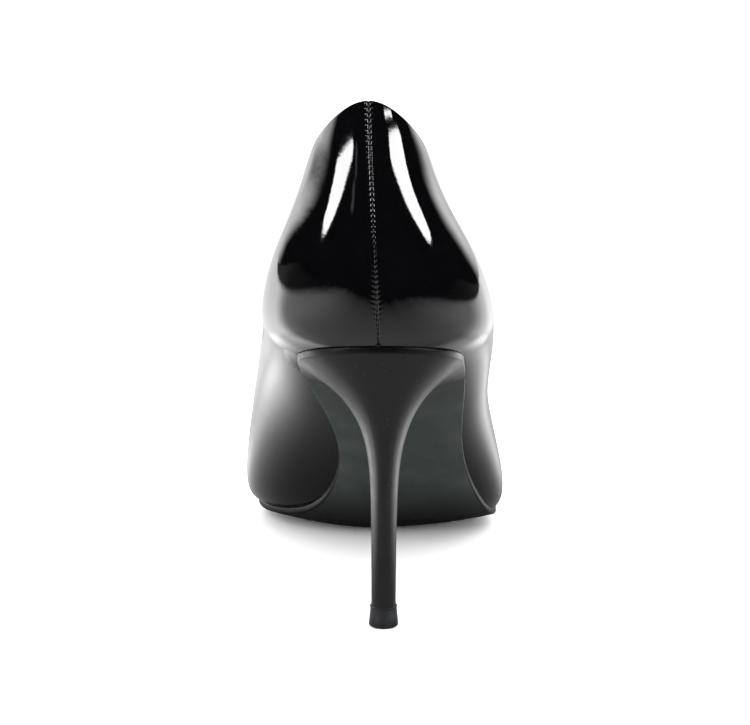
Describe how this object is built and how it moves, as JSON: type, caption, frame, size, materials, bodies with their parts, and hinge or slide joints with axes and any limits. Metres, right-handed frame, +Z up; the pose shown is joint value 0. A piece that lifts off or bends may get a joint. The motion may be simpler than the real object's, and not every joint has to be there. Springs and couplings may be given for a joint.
{
  "type": "high heel pump",
  "caption": "Closed court shoe with a pointed toe, glossy upper with a back seam, slender covered stiletto heel and rubber top piece.",
  "frame": {"origin": "centre of the top piece's tread, where the heel tip stands on the ground", "axes": "+Z up, +Y from the heel to the toe, +X to the outer side of a right foot"},
  "size_m": [0.0832, 0.2362, 0.1617],
  "materials": {
    "patent_leather": "black patent, mirror gloss",
    "thread": "black bonded thread",
    "reinforcing_tape": "woven tape",
    "backing_cloth": "woven cotton",
    "stiffener_board": "moulded fibre and resin, matte",
    "lining_leather": "natural beige, soft sheen",
    "insole_fibre": "pressed cellulose board",
    "shank_fibre": "dense pressed board",
    "spring_steel": "tempered, dull",
    "fastener_steel": "zinc plated",
    "cork_filler": "cork and wax",
    "foam": "latex foam",
    "sock_leather": "natural beige, soft sheen",
    "outsole_rubber": "black, satin matte",
    "heel_plastic": "moulded, matte",
    "heel_wrap": "black, glossy",
    "top_piece_rubber": "black, matte"
  },
  "bodies": {
    "root": {"upper": "patent_leather", "back_seam_stitching": "thread", "back_seam_tape": "reinforcing_tape", "topline_tape": "reinforcing_tape", "upper_backing": "backing_cloth", "heel_counter": "stiffener_board", "toe_puff": "stiffener_board", "quarter_lining": "lining_leather", "vamp_lining": "lining_leather", "insole_board": "insole_fibre", "shank_board": "shank_fibre", "steel_shank": "spring_steel", "shank_rivets": "fastener_steel", "bottom_filler": "cork_filler", "heel_pad": "foam", "ball_pad": "foam", "sock_lining": "sock_leather", "outsole": "outsole_rubber", "heel_block": "heel_plastic", "heel_cover": "heel_wrap", "heel_pin": "spring_steel", "heel_screw": "fastener_steel", "heel_nails": "fastener_steel", "top_piece": "top_piece_rubber", "top_piece_pin": "spring_steel"}
  },
  "joints": []
}
